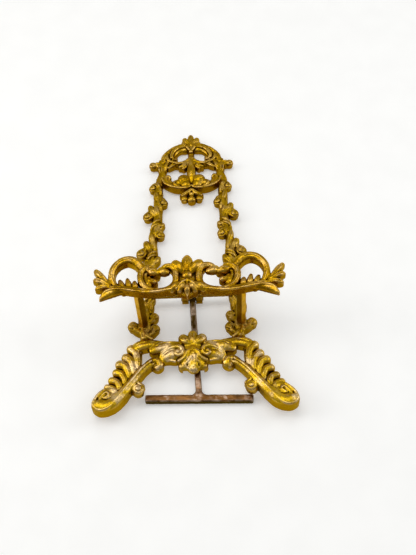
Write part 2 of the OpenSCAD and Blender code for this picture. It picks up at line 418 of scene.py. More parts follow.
def cast(name, wax, material, seed, rough=0.05, flip=False, place=None, middle_shift=0,
         toe_shift=0, shade_inside=False):
    """Pours a casting from its wax: a mesh with hammer marks and its own patina and shade values.

    The values hold how enclosed each point is, near to and far off, and how much painted shade it
    gets, with a random tone: walls get more than faces, and with the inside shade set the sides that
    look to the middle get the most.
    """
    field, low = wax.finished(flip)
    voxels, quads = surface_net(field)
    normal = point_normals(voxels, quads)
    voxels -= normal * (sample(field, voxels) / wax.voxel)[:, None]
    solid = np.clip(0.5 - field / wax.voxel, 0, 1).astype(np.float32)
    fine = sample(blur(solid, 2), voxels + normal * 0.6)
    broad = sample(blur(solid, 6), voxels + normal * 1.0)
    points = low + voxels * wax.voxel
    marks = 0.6 * ripple(points, 2.4, seed) + 0.4 * ripple(points, 1.1, seed + 50)
    points = points + normal * (rough * marks)[:, None]
    # painted shade: the more a point faces sideways instead of out of the front, the darker it is
    # painted
    wall_shade = np.clip((0.85 - normal[:, 2]) / 0.7, 0, 1)
    side_shade_and_tone = np.clip(0.22 + 0.22 * ripple(points, 9.0, seed + 90) + 0.7 * wall_shade, 0, 1)
    # painted shade on the arms: the sides that look to the middle are painted darkest, the outer sides
    # lightest
    if shade_inside:
        outward = normal[:, 0] * np.sign(points[:, 0].mean())
        side_shade_and_tone = np.clip(0.12 + 0.9 * np.clip(0.60 - 1.3 * outward, 0, 1)
                       + 0.12 * ripple(points, 5.0, seed + 90), 0, 1)
    if middle_shift:
        points[:, 0] += middle_shift * np.exp(-(points[:, 0] / MIDDLE_W) ** 2)
    if toe_shift:
        points[:, 0] += toe_shift * np.clip((TOE_TOP - points[:, 1]) / TOE_H, 0, 1)
    colours = np.stack([fine, broad, side_shade_and_tone, np.ones(len(points))], 1)
    if place is not None:
        m = np.array(place)
        points = points @ m[:3, :3].T + m[:3, 3]
    obj = make_mesh(name, to_part(points), quads, colours)
    obj.data.materials.append(material)
    return obj


def at(z, *rows):
    """Rows of x, y, radius, all at the same height z."""
    return [[x, y, z, r] for x, y, r in rows]


def over(z, *rows):
    """Rows of x, y, height over z, radius."""
    return [[x, y, z + rise, r] for x, y, rise, r in rows]


def arc(centre, radius, start, end, z, w0, w1, steps=20):
    """Rows along a circle, from one angle in degrees to another."""
    a = np.radians(np.linspace(start, end, steps))
    w = np.linspace(w0, w1, steps)
    return np.stack([centre[0] + radius * np.cos(a), centre[1] + radius * np.sin(a),
                     np.full(steps, z), w], 1)


# ---------------------------------------------------------------- the five castings
def model_crest():
    """The pierced crest: a ring round a mask with eyes, under a crown, over a pendant."""
    wax = Wax((0, 125.8, 0), (26, 178.7, 6.4), mirrored=True)
    ring = (0, 152.6)
    # ring: a flat band with a raised outer rim and a leaf lying along each side
    wax.add(arc(ring, 16.7, 84, -48, 2.8, 1.8, 2), 0.8, steps=0)
    wax.add(arc(ring, 17.6, 78, 26, 4, 0.85, 0.95), 1, 0.2, steps=0)
    wax.cut(arc(ring, 16, 76, 40, 4.6, 0.35, 0.45))
    wax.leaf(at(3.6, (13.6, 163, 0.8), (15.2, 159.8, 1.5), (16.3, 156.2, 1.2)), 0.9)
    wax.leaf(at(3.6, (17.4, 157.6, 0.8), (17.5, 154, 1.4), (17.1, 150.4, 1.3),
                (16.2, 147.2, 0.5)), 0.9)
    wax.cut(arc(ring, 15.6, 8, -34, 4.5, 0.3, 0.25))
    wax.cut(arc(ring, 17.5, 0, -30, 4.4, 0.25, 0.3))
    # lower arc: a thin bright rim on a deep wall, which dips to a lip in the middle
    wax.add(at(2.2, (16.2, 143.6, 1.6), (14.2, 140.2, 1.4), (11.2, 137.9, 1.3),
               (8, 136.6, 1.3), (4.6, 136.2, 1.3), (0, 136.3, 1.4)))
    wax.add([[16.3, 143.6, 4.5, 0.7], [14.6, 140.2, 4.6, 0.8], [11.4, 137.5, 4.8, 0.85],
             [8, 136.1, 4.9, 0.85], [4.8, 135.7, 4.9, 0.85], [2, 135.9, 5, 0.85],
             [0.3, 137.2, 5, 0.65]], 1, 0.2)
    # crown: a grooved middle leaf between two broad lobes on each side
    wax.leaf(at(2.7, (0, 169.8, 1.4), (0, 173.6, 1.9), (0, 176.2, 1.7), (0, 177.4, 1)),
             1, 0.36)
    wax.leaf(at(2.6, (1, 170.4, 1.3), (2.7, 172.9, 1.9), (3.4, 174.4, 1.6)), 1)
    wax.leaf(at(2.6, (1.4, 169.8, 1.2), (3.4, 171.2, 1.6), (4.2, 171.9, 1.3)), 0.9, 0.25)
    wax.add(at(4.3, (4.2, 170.6, 0.5), (2.6, 168, 0.8), (0.7, 165, 0.7)), 1, 0.15)
    wax.ball((0, 163.8, 3.9), 1.25, 1, 0.15)
    # mask of the upper half, pierced by the eye
    wax.add(at(2, (2.2, 167.6, 2.2), (7, 166.8, 2.4), (11, 163.2, 2.7),
               (13.2, 158.6, 2.6)), 0.8)
    wax.add(at(2.2, (0, 169.5, 2), (0, 166, 1.8), (0, 160, 1.7)), 0.8)
    wax.add(at(2.2, (14.4, 157.4, 2.2), (10.4, 155.6, 1.8), (6.2, 154.8, 1.7),
               (2, 155.6, 1.8)), 0.85)
    wax.cut(at(9, (4.8, 160.2, 2.8), (4.9, 162.3, 2.8)), 1, 0.3, through=True)
    # inner C-scroll over the eye, with its rolled end and pits
    eye = wax.add([[1.6, 168, 3.6, 0.9], [4, 168.2, 3.8, 1.15], [7.2, 167.1, 4, 1.3],
                   [9.8, 164.4, 4.1, 1.3], [11, 160.9, 4.1, 1.2], [10.2, 158.4, 4, 1],
                   [8.8, 158.3, 3.8, 0.9]], 1, 0.2)
    wax.ribs(eye, 1, (-0.1,), 0.3)
    wax.ball((8.7, 159.2, 3.2), 1.2, 0.9, 0.2)
    # outer scroll that runs on as the lid under the eye
    lid = wax.add([[12.6, 164.4, 3.4, 0.7], [13.6, 161, 3.9, 1], [12.7, 157.8, 4.1, 1],
                   [9.6, 155.6, 4.2, 1], [6.2, 154.8, 4.3, 1], [3, 156.2, 4.3, 0.9],
                   [0.8, 159, 4.2, 0.7]], 1, 0.15)
    wax.ribs(lid[6:-6], 1, (0.1,), 0.2)
    for pit_x, pit_y in ((11.4, 158.2), (9.6, 157.2), (12.2, 162.6), (7.4, 156.4)):
        wax.cut(at(5, (pit_x, pit_y, 0.6), (pit_x - 0.6, pit_y, 0.5)), 2)
    # swag of two small leaves that hangs from the lid
    wax.leaf(at(3.9, (1.2, 157.4, 0.8), (2.4, 155, 1.1), (4.4, 152.9, 1.3),
                (6.2, 152.4, 1)), 1, 0.3)
    wax.leaf(at(3.6, (2, 155, 0.8), (3, 152.8, 1), (4.3, 151.4, 0.9)), 1, 0.24)
    wax.leaf(at(3.4, (8.4, 155, 0.9), (10.8, 153.8, 1.2), (12.6, 152.4, 0.8)), 1, 0.28)
    wax.leaf(at(3.4, (13, 156.8, 0.9), (14.3, 153.6, 1.3), (14.6, 150.6, 0.7)), 1, 0.28)
    # spear leaf down the middle
    wax.add([[0, 160.6, 3.6, 0.7], [0, 156.5, 3.9, 1.2], [0, 152.4, 3.9, 1.9],
             [0, 148.8, 3.6, 2.5], [0, 145.6, 3.1, 2.5], [0, 141.6, 2.4, 2]], 0.72, 0.25)
    wax.cut(at(5, (1.1, 154.5, 0.2), (1.6, 149.6, 0.25), (1.9, 146.4, 0.25)))
    # the pair of round leaves, each with three lobes and veins
    wax.ball((4.2, 143, 3.2), 3.5, 0.75, 0.3)
    wax.ball((3.2, 139.6, 3), 3, 0.75, 0.5)
    wax.ball((7.2, 140.8, 3), 2.5, 0.8, 0.2)
    for tip_x, tip_y in ((2.6, 146.2), (5, 146.2), (7, 143.4)):
        wax.groove([[1.2, 138.6, 5.9, 0.25],
                    [0.5 * (1.2 + tip_x) + 0.3, 0.5 * (138.8 + tip_y), 6.1, 0.35],
                    [tip_x, tip_y, 4.9, 0.3]])
    wax.cut(at(5.4, (0.5, 145.4, 0.3), (0.5, 141, 0.4), (0.4, 138.2, 0.3)), 1.6)
    # curled leaves between them and the ring
    wax.add([[6.6, 137.6, 3.6, 0.9], [8.4, 138.2, 4, 1.2], [9.2, 140, 4, 1.4],
             [8.6, 141.4, 3.7, 1.1]], 1, 0.2)
    wax.ball((8.4, 140, 2.9), 2, 0.8, 0.2)
    wax.groove(at(5.1, (7.6, 138.6, 0.3), (8.6, 139.8, 0.35), (8.4, 141.4, 0.3)), 1.4)
    wax.add([[11, 138.8, 3.8, 0.8], [12.8, 140, 4, 1.1], [14, 142, 4, 1.2],
             [13.8, 144.4, 4, 1.2], [12.6, 145.3, 3.9, 1], [11.8, 144.2, 3.7, 0.8]], 1, 0.2)
    wax.cut(at(5, (12.9, 142.3, 0.35), (13, 144, 0.4)), 1.6)
    # pendant: a collar of two leaves over three lobes
    wax.leaf([[0.3, 134.4, 4.7, 0.9], [2.4, 132.2, 4.6, 1.2], [4.6, 131, 4, 1.2],
              [5.8, 131.2, 3.2, 0.8]], 1, 0.3)
    wax.ball((4, 129.6, 2.4), 1.9, 0.8, 0.25)
    wax.ball((0, 128.5, 3), 2.3, 0.8, 0.2)
    wax.ball((0, 131.4, 4), 1.5, 0.9, 0.2)
    wax.cut(at(5.3, (1.5, 130.8, 0.3), (2.2, 128.4, 0.35), (2.3, 126.6, 0.35)), 1.8)
    wax.add(at(2.2, (0, 136, 2.6), (0, 130.6, 2.4)), 0.75)
    # side balls on short necks, and the sockets over the ends of the rails
    wax.add(at(3, (16.8, 153.6, 1.7), (19.6, 154.4, 1.5)))
    wax.add(at(4, (16.6, 155.6, 0.6), (19.4, 155.6, 0.9)), 1, 0.2)
    wax.knob((21.4, 154.7), 2.35, 2.9, 160, -1.2)
    wax.add(at(2.4, (16.2, 148.6, 1.9), (17.5, 143.8, 2.2), (17.7, 140.6, 2.2)), 0.9)
    wax.flat_back(0.05)
    return wax


# middle line of the right rail, from the foot casting up to the crest
RAIL = [(23, 40.4), (22.8, 50), (21.6, 58), (21.4, 66), (21.4, 75), (21.1, 84), (20.5, 91),
        (20.4, 98), (20, 104), (18.8, 110), (17.8, 116), (17.7, 122), (18, 129), (17.8, 136),
        (17.6, 139.5)]


def rail_x(y):
    """Where the middle line of the rail is at the height y."""
    return float(np.interp(y, [row[1] for row in RAIL], [row[0] for row in RAIL]))


def rail_strand(phase, amount, r, z, rise, turns=4.6, steps=90):
    """A stem that winds about the middle line of a rail."""
    line = smooth_line([[x, y, 0, 1] for x, y in RAIL], 10)
    t = np.linspace(0, len(line) - 1, steps)
    line = np.stack([np.interp(t, np.arange(len(line)), line[:, k]) for k in range(4)], 1)
    a = np.linspace(0, turns * 2 * math.pi, steps) + phase
    line[:, 0] += amount * np.sin(a)
    line[:, 2] = z + rise * np.cos(a)
    line[:, 3] = r * (1 + 0.12 * np.sin(3 * a))
    return line


def model_rail():
    """The right rail: two stems wound about its middle line, with knobs and leaves."""
    wax = Wax((11.2, 36.6, 0), (33, 141.8, 6.6))
    wax.add([[x, y, 1.9, 2.3] for x, y in RAIL], 0.9)
    for phase in (0.4, 0.4 + math.pi):
        strand = rail_strand(phase, 0.95, 1.6, 3, 0.55)
        wax.add(strand, 1.1, 0.25, 0)
        groove = raised(strand, 1.72, 0.24)
        groove[:, 0] += 0.35
        wax.cut(groove)
    # scroll knobs that roll off the stem: place, radius, where they spring
    knobs = (((20.4, 137.2), 2.5, (17.8, 140.8)), ((14.9, 126.2), 2.6, (17.4, 130.8)),
             ((23.1, 117), 2.75, (19.4, 121.6)), ((16.4, 104), 2.6, (18.6, 108.2)),
             ((25.8, 91.8), 3, (21.6, 96.6)), ((18, 77.8), 2.2, (20.4, 81.5)),
             ((18.2, 45.6), 2.5, (21.8, 41.4)), ((18.6, 52.4), 2.3, (21.6, 48.8)),
             ((29, 47.4), 2.7, (24.2, 43)))
    for (x, y), r, (root_x, root_y) in knobs:
        inner = x < rail_x(y)
        side = -1 if inner else 1
        wax.add([[root_x, root_y, 3.2, 1.3],
                 [(x + root_x) / 2 + side * 0.8, (y + root_y) / 2, 3.4, 1.6],
                 [x, y + 0.3 * r, 3.3, 0.72 * r]], 1, 0.5)
        wax.knob((x, y), r, 2.9, 220 if inner else -40, side * -1.1)
        wax.add([[x - side * 0.3, y, 2.4, 0.75 * r], [x - side * 3.2, y + 0.6, 2.6, 1.4]], 1, 0.6)
    # leaves that stand off the stem: root, middle, tip, half width
    leaves = (((19.4, 117.6), (21, 121), (21.7, 123.6), 1.9),
              ((18, 108.6), (15.8, 110.4), (15.1, 111.4), 1.5),
              ((18.2, 107.2), (16.6, 108.4), (15.9, 109), 1.3),
              ((21.2, 93.4), (22.8, 96.4), (23.6, 98.9), 2),
              ((20.4, 84), (18.2, 86.8), (17.4, 88.8), 1.8),
              ((21.4, 81), (23.4, 84.2), (23.8, 87), 1.6),
              ((21.6, 69), (23.4, 72), (23.7, 74.8), 1.5),
              ((20.8, 66.8), (18.9, 69.4), (18.4, 71.8), 1.4),
              ((23.2, 53.2), (25.2, 56), (25.6, 58.8), 1.6),
              ((22.6, 59.6), (20.2, 61.6), (19.4, 63.6), 1.4))
    for root, mid, tip, r in leaves:
        wax.leaf([[*root, 3.6, 1.2], [*mid, 3.5, r], [*tip, 2.9, 0.85 * r]], 0.95, 0.32)
    # leaf-like bands wrapped over the stem, falling outwards
    for middle in (112.4, 110, 91, 89, 63.4):
        x = rail_x(middle)
        wax.add([[x - 2.4, middle + 1.9, 3, 0.7], [x - 1, middle + 0.9, 4.6, 0.95],
                 [x + 0.8, middle - 0.5, 4.7, 0.95], [x + 2.4, middle - 1.9, 3.2, 0.7]],
                1, 0.15)
    # pad under the arm, and the foot of the rail, which flares on to the foot casting
    wax.add(at(2.4, (ARM_X - 0.4, 44.8, 2.4), (ARM_X - 0.2, 50.4, 2.4)), 1.05)
    wax.add(at(2.3, (22.6, 43.5, 2.3), (23.2, 39.8, 2.3)), 0.95)
    wax.add([[24.4, 44.4, 3.6, 1.2], [22.4, 41.6, 4.2, 1.3], [19.8, 39.6, 4, 0.9]], 1, 0.2)
    wax.box((ARM_X - 2.6, ARM_Y - 2.6, 1), (ARM_X + 2.6, ARM_Y + 2.6, CASTING_T), 0.6)
    wax.box((ARM_X - 3, ARM_Y - 3, CASTING_T), (ARM_X + 3, ARM_Y + 3, 9), 0.1, 0.1, cut=True)
    wax.flat_back(0.05)
    return wax


def model_foot():
    """The foot casting: an arch with a shell medallion, and two scrolled toes."""
    wax = Wax((0, 0.7, 0), (47.5, 43.8, 8), mirrored=True, voxel=COARSE_VOXEL)
    # long stem that sweeps from the upper curl down round the toe, with a raised rim
    stem = [[19.6, 26.1, 3.9, 1.9], [23.4, 23, 4.2, 2.1], [27, 18.6, 4.3, 2.2],
            [30.4, 14, 4.5, 2.4], [33.8, 9.4, 4.7, 2.6], [37.4, 5.5, 4.9, 2.8],
            [41.4, 3.6, 5, 2.9], [44.6, 4.4, 5, 2.9]]
    wax.add(stem, 0.85)
    wax.add(at(4, (34.5, 9.6, 3.4), (38.6, 7, 4.6), (41.8, 6.6, 5.2)), 0.45)
    wax.add(at(4, (41.8, 6.4, 5.3), (43.2, 6.4, 3.8)), 0.45)
    wax.add(at(3.9, (38.4, 12.8, 2.4), (41.2, 10.4, 3), (43.2, 7.8, 3.3)), 0.6)
    rim = [[19.6, 26.6, 5.6, 0.6], [23.4, 23.3, 5.9, 0.7], [27, 18.9, 6, 0.75],
           [30.6, 14, 6.2, 0.8], [34.2, 9, 6.4, 0.85], [37.8, 4.3, 6.5, 0.9],
           [41, 1.9, 6.5, 0.95], [44.2, 1.8, 6.5, 0.95], [46.3, 4, 6.4, 0.9],
           [46, 6.8, 6.2, 0.85], [44.2, 9.8, 5.9, 0.8], [41.8, 12.2, 5.5, 0.7]]
    wax.add(rim, 1, 0.2)
    # the toe's volute: ridges that follow the rim inwards and close on a small eye
    wax.add([[35.6, 10.4, 5.6, 0.7], [38.4, 7.4, 5.8, 0.8], [41.2, 5.5, 5.8, 0.85],
             [43.4, 5.9, 5.8, 0.85], [43.6, 7.7, 5.8, 0.8], [42.3, 9.6, 5.7, 0.8],
             [40.8, 10.7, 5.6, 0.8], [39.8, 10, 5.7, 0.75], [40.2, 8.7, 5.8, 0.7],
             [41.4, 8, 5.8, 0.7]], 1, 0.25)
    wax.cut(at(6.3, (40.9, 9.8, 0.4), (41.1, 9.3, 0.4)), 1.2)
    for groove in (((36.2, 8.4), (38.6, 5.6), (41.4, 4.3), (44.3, 4.7), (45.1, 7.6)),
                   ((37.6, 9.6), (39.4, 7.3), (41.4, 6.8), (42.6, 7.4))):
        wax.groove([[x, y, 6.2, 0.33] for x, y in groove])
    # acanthus: lobes that spring from the stem and lap over one another outwards
    lobes = (((26.4, 21.6), (26.2, 26.4), (27, 31.4), (29.4, 34.4), 2.3),
             ((28.4, 19.2), (28.2, 23.8), (29.4, 27.6), (31.6, 29.6), 2.4),
             ((30.2, 16.8), (30.6, 21.4), (32.2, 24.8), (34.4, 26), 2.4),
             ((32.4, 13.8), (32.4, 17.6), (33.8, 20.6), (36, 21.6), 2.2),
             ((34.8, 10.8), (34.8, 14), (35.9, 16.4), (38.2, 17.6), 2),
             ((36.8, 9), (37, 11.6), (38, 13.4), (40.4, 14.2), 1.7))
    for n, (root, low, high, tip, r) in enumerate(lobes):
        z = 3.9 + 0.05 * n
        line = wax.add([[*root, z, 0.8], [*low, z + 0.2, 1.6], [*high, z, 0.85 * r],
                        [*tip, z - 0.4, r]], 0.9, 0.12)
        wax.ribs(line[2:], 0.9, (-0.2, 0.4), 0.2)
    wax.add(at(1.6, (27.6, 33, 2), (28.6, 27, 2.3), (31, 21, 3), (34, 15, 3.2),
               (38, 9.5, 3.4)), 0.9)
    wax.add(at(3, (25.4, 33.8, 1), (25.2, 28.6, 0.9), (26.2, 22.6, 0.8)))
    # inner curls
    wax.add([[21, 26, 3.4, 1.9], [18.8, 27.6, 3.6, 1.7], [16.6, 27.2, 3.6, 1.8],
             [15.6, 25.2, 3.4, 1.9], [16.8, 23.9, 3, 1.7]], 0.95, 0.25)
    wax.groove(at(5.2, (20.2, 25.6, 0.3), (18.4, 26.2, 0.35), (17.4, 25.4, 0.4)), 1.2)
    wax.ball((17, 25, 2.2), 2.7, 0.8)
    wax.knob((26.4, 12.6), 3.2, 3.2, 60, 1.3)
    wax.add([[29.6, 13, 3.2, 1.6], [28.2, 15.2, 3.6, 1.4], [26.2, 15.6, 3.8, 1.2],
             [24.2, 14.4, 3.6, 1.1]], 0.9, 0.2)
    wax.groove(at(5, (28, 16.6, 0.25), (30, 13.8, 0.3), (33.2, 9.4, 0.35),
                  (36.6, 5.2, 0.3)))
    # arch: two broad blunt leaves that lap over it
    wax.add(at(2.4, (28.6, 34.4, 2.5), (25.4, 36.9, 2.5), (21, 37.6, 2.3), (16, 36.9, 2.3),
               (8, 34.9, 2.4)), 0.9)
    wax.add([[17, 36.6, 4.2, 1.2], [21, 36.4, 4.3, 2.3], [25.2, 35.7, 4.3, 2.7],
             [27.8, 33.9, 3.8, 2.2]], 0.62, 0.2)
    wax.groove(at(5.9, (18.6, 37, 0.25), (23.4, 36.8, 0.3), (27.2, 35, 0.3)))
    wax.add([[5.6, 36, 4.4, 1.3], [10.4, 35.2, 4.6, 2.4], [15, 34.2, 4.5, 3],
             [18.8, 33.2, 3.9, 2.3]], 0.62, 0.2)
    wax.groove(at(5.9, (7.4, 36.3, 0.25), (13.2, 36, 0.3), (18.6, 34.2, 0.3)))
    # volute beside the medallion: a ridge that frames a dished leaf and curls in on itself
    wax.add(at(3.4, (5.6, 31, 3.6), (9.8, 30.8, 3.4), (13, 29.4, 2.6), (15.3, 27.5, 1.3)),
            0.75)
    wax.add([[15.8, 27.2, 3.6, 0.7], [14.3, 30.8, 4.6, 1.1], [11.4, 33, 5.1, 1.2],
             [8.2, 33.9, 5.5, 1.25], [5.4, 33, 5.7, 1.2], [4.8, 30.8, 5.7, 1.1],
             [6.4, 29.3, 5.7, 1.1], [8, 30.2, 5.7, 1.1], [7.2, 31.4, 5.8, 1]], 0.9, 0.35)
    wax.add([[14.6, 26.8, 3, 0.6], [11.6, 27.4, 3.8, 0.8], [8.2, 26.9, 3.9, 0.7]], 1, 0.3)
    # medallion: a fan of three lobes over a dish, a waved cape, and three lobes below
    wax.ball((0, 32, 2.6), 6.2, 0.6)
    wax.leaf([[0, 35.4, 5.2, 1], [0, 38.6, 5, 2.1], [0, 41.4, 4, 2]], 0.9, 0.22)
    wax.leaf([[1.4, 35.4, 5.3, 1.1], [3.1, 37, 5.2, 2.2], [4.4, 38.6, 4.5, 2.5]], 0.85, 0.22)
    wax.add(at(3.6, (0, 37, 3), (0, 40.6, 2.4)), 0.8)
    wax.add(at(4.3, (2, 35.6, 2.6), (3.6, 38, 2.6)), 0.7)
    wax.add(at(2.4, (3, 36, 2.6), (4.6, 38.4, 2.3)), 0.8)
    wax.cut([[-0.8, 34.2, 7, 1.3], [0.8, 34.2, 7, 1.3]], 0.8, 0.4)
    wax.add([[0, 31.4, 5.6, 2.5], [0, 28.6, 5.2, 3.4], [0, 26.6, 4.2, 3.6]], 0.55, 0.3)
    wax.add([[0.8, 31.6, 6, 1.2], [2.6, 30.4, 6, 1.2], [3.5, 28.4, 5.8, 1.1],
             [5, 27.2, 5.3, 1.1], [6.4, 26.6, 4.8, 1]], 0.9, 0.4)
    wax.ball((0, 27.4, 4), 6, 0.38, 0.6)
    wax.add([[0.5, 30.2, 6.3, 0.9], [0.9, 28, 6.1, 1], [2.2, 25.9, 5.5, 1],
             [3.2, 25, 5, 0.8]], 0.9, 0.35)
    wax.cut([[0, 29.2, 7.3, 0.3], [0, 26.2, 6.9, 0.7]], 1.2, 0.3)
    wax.ball((5, 24.3, 3), 2.1, 0.85, 0.25)
    wax.ball((3.9, 24, 3), 1.9, 0.85, 0.25)
    wax.ball((0, 23.2, 3.4), 2.9, 0.8, 0.2)
    wax.groove(at(5.2, (2.6, 24.4, 0.25), (2.8, 23.2, 0.35), (2.9, 22, 0.35)), 1.4)
    wax.groove([[-0.9, 22.8, 5.9, 0.35], [0, 22.3, 5.8, 0.45], [0.9, 22.8, 5.9, 0.35]])
    # hollow back that clears the folded leg
    wax.box((-5, 18, -2), (5, 48, 2.2), 0.2, 0.2, cut=True)
    wax.flat_back(0.05)
    return wax


def model_ledge():
    """The pierced ledge: scrolls, arches and leaves about a palmette."""
    base = LEDGE_Z
    wax = Wax((0, 41.4, base), (47, 69.2, base + 6.9), mirrored=True)
    mid = base + 2.6
    top = base + 5.2
    # bottom bar: the inner scroll's band runs out along it and ends in a flared horn
    rim = ((4, 46.7), (8.8, 46.2), (15, 45.3), (20, 45.3), (24.3, 45.9), (28.4, 46.8),
           (32.4, 47.5), (36, 47.4), (38.6, 46.2), (40.1, 44.2))
    wax.add([[x, y + 1.2, base + 3.4, 1.3] for x, y in rim[:6]]
            + [[31.6, 48.4, base + 3.5, 1]], 1.1, 0.3)
    wax.add([[27, 47.9, base + 2.7, 1.5], [31, 48, base + 2.6, 1.9],
             [34.8, 47.2, base + 2.6, 2.2], [37.6, 45.7, base + 2.9, 2],
             [39.6, 43.9, base + 3.3, 1.4], [40.5, 42.4, base + 3.5, 0.6]], 1.05, 0.5, walls=False)
    wax.add([[x, y + 0.4, top - 0.6, 0.75] for x, y in rim[:7]] + [[34.6, 47.9, top - 0.7, 0.6]],
            1, 0.35)
    wax.add([[33.6, 48, top - 0.6, 0.75], [37, 47.2, top - 0.5, 0.75],
             [39.2, 45.6, top - 0.7, 0.7], [40.4, 43.2, top - 1.2, 0.5]], 1, 0.35, walls=False)
    wax.add([[x, y + 1.8, top - 1.2, 0.8] for x, y in rim[3:8]], 1, 0.2)
    wax.groove([[x, y + 1.2, top + 0.1, 0.28] for x, y in rim[3:8]])
    # big arch: a grooved tube that thickens to a blunt inner end
    arch = wax.add(over(mid, (32.6, 48.8, 0, 1.2), (34.8, 52.2, 0.3, 1.35), (35.9, 56.2, 0.6, 1.6),
                        (35.2, 60, 0.8, 1.8), (32.3, 63.5, 0.9, 1.95), (28.4, 64.8, 0.9, 2.1),
                        (24.6, 63.2, 0.8, 2.25), (22.2, 60.4, 0.5, 2.1)), 1.05, 0.3)
    wax.ribs(arch[4:-8], 1.05, (-0.45, 0.38), 0.36, 0.1)
    wax.add(over(mid, (36.6, 50, 0.6, 0.8), (36.9, 54, 0.9, 0.8), (36.9, 58, 0.9, 0.6)), 1, 0.15)
    # crescent with two ridges, its rolled end and the bud inside it
    moon = wax.add(over(mid, (17.2, 60, 0.6, 1.3), (19.8, 59.9, 0.8, 1.6), (22, 57.4, 0.9, 1.7),
                        (22.4, 53.8, 0.9, 1.6), (21, 50, 0.8, 1.5), (18, 47.6, 0.7, 1.3),
                        (14, 46.6, 0.6, 1.1)), 1.1, 0.2)
    wax.ribs(moon[2:], 1.1, (-0.35, 0.4), 0.3, 0.1)
    wax.add(at(mid + 0.2, (19.4, 58.4, 0.9), (20.2, 55, 1.1), (19, 51, 1.2)), 1, 0.2)
    wax.add(over(mid, (18.2, 58.2, 0.7, 1.7), (16.4, 57.2, 0.9, 2.3), (14.7, 56.8, 0.7, 1.8)), 1, 0.5)
    wax.groove(at(top + 0.5, (14.8, 56.4, 0.3), (16.4, 56.9, 0.4), (18.2, 56.6, 0.35)))
    wax.leaf(over(mid, (18.4, 54.6, 0.2, 0.9), (17.8, 52.8, 0.4, 1.3), (15.8, 52, 0.3, 1.7)), 1.1, 0.3)
    wax.add(at(mid - 0.4, (18.2, 48.4, 1.3), (18, 52.8, 1.3)))
    # inner C-scroll and its rolled head
    scroll = wax.add(over(mid, (12.4, 58.2, 0.4, 1.4), (10.6, 60, 0.7, 1.6), (8, 60.1, 0.9, 1.7),
                          (5.9, 58, 1, 1.7), (5.3, 54.4, 1, 1.7), (5.8, 50.6, 0.9, 1.65),
                          (8.4, 47.9, 0.8, 1.5), (12.6, 46.6, 0.6, 1.3)), 1.1, 0.2)
    wax.ribs(scroll[8:-6], 1.1, (0.45,), 0.3, 0.1)
    wax.add(over(mid, (12.8, 58.4, 0.6, 1.6), (11.6, 57, 0.9, 2.1),
                 (9.7, 56.8, 0.7, 1.6)), 1, 0.35, walls=False)
    wax.groove(at(top + 0.4, (8.6, 57.4, 0.35), (10.6, 58, 0.4), (12.6, 57.8, 0.35)))
    # upright leaves in the arch
    for foot_x, tip_x, tip_y in ((24.6, 25.4, 53.2), (27.4, 28.8, 55), (30.2, 32.4, 54.2)):
        wax.leaf(over(mid, (foot_x, 47.8, 0.2, 1.5),
                      (0.6 * foot_x + 0.4 * tip_x, 0.6 * 48 + 0.4 * tip_y, 0.5, 1.6),
                      (0.2 * foot_x + 0.8 * tip_x, 0.2 * 48 + 0.8 * tip_y, 0.4, 1),
                      (tip_x, tip_y, 0, 0.3)), 1, 0.3, 0.12)
    wax.add(at(mid - 0.6, (22.6, 47.6, 1.4), (28, 48.6, 1.6), (33.5, 49.6, 1.6)))
    # spray of three leaves at the end
    for tip_x, tip_y, r in ((43.4, 59.4, 1.55), (43.3, 54.2, 1.7), (42.2, 49.4, 1.6)):
        wax.leaf(over(mid, (36, 49.4, 0.6, 0.9),
                      (0.6 * 36.4 + 0.4 * tip_x, 0.6 * 50.4 + 0.4 * tip_y, 0.9, 1.3),
                      (0.25 * 36.4 + 0.75 * tip_x, 0.25 * 50.4 + 0.75 * tip_y, 0.7, r),
                      (tip_x, tip_y, 0.1, 0.8 * r)), 1.05, 0.4, 0.12)
    wax.ball((38.4, 51.6, mid - 0.4), 2.6, 0.9)
    # palmette: three petals over a rosette; a tent of two ribs below covers leaves and a drop
    wax.ball((0, 52.4, mid - 0.9), 5.6, 0.55)
    wax.add(at(mid, (0, 50, 4.6), (0, 46.8, 3.4)), 0.6)
    wax.add(over(mid, (0, 56.4, 0.6, 2), (0, 59.8, 1, 2.8), (0, 62.4, 1.1, 2.7), (0, 65.2, 0.6, 1.5),
                 (0, 66.8, 0, 0.5)), 0.95, 0.12)
    wax.cut(at(mid + 3.7, (0, 58.4, 0.25), (0, 63.6, 0.2)))
    wax.add(over(mid, (1.9, 56.6, 1.2, 1.8), (3.5, 58.9, 1.7, 2.5), (5.4, 61, 1.4, 2.3)), 0.9, 0.1)
    wax.cut(at(mid + 4.1, (2.6, 57.6, 0.25), (5.2, 60.6, 0.22)))
    wax.ball((0, 54, mid + 1.9), 2.5, 0.85, 0.1)
    wax.add(over(mid, (3.6, 49.8, 1.6, 1.2), (5.9, 48.2, 1.8, 1.8), (7.2, 46.6, 1, 1.5)), 0.9, 0.12)
    wax.add(over(mid, (0.8, 49.2, 2, 1), (2.4, 47.8, 2.3, 1.7), (3.4, 46, 1.6, 1.5)), 0.9, 0.12)
    wax.add(over(mid, (0.3, 51, 3, 0.6), (2.6, 49.2, 3.1, 0.7), (4.9, 46.6, 2.5, 0.75)), 1, 0.12)
    wax.add(over(mid, (0, 50.2, 2.9, 0.45), (0, 48.2, 3, 0.65), (0, 46.2, 2.9, 1.5), (0, 44.8, 2.4, 1.3),
                 (0, 43.3, 1.6, 0.5)), 1, 0.12)
    wax.flat_back(base + 0.05)
    return wax


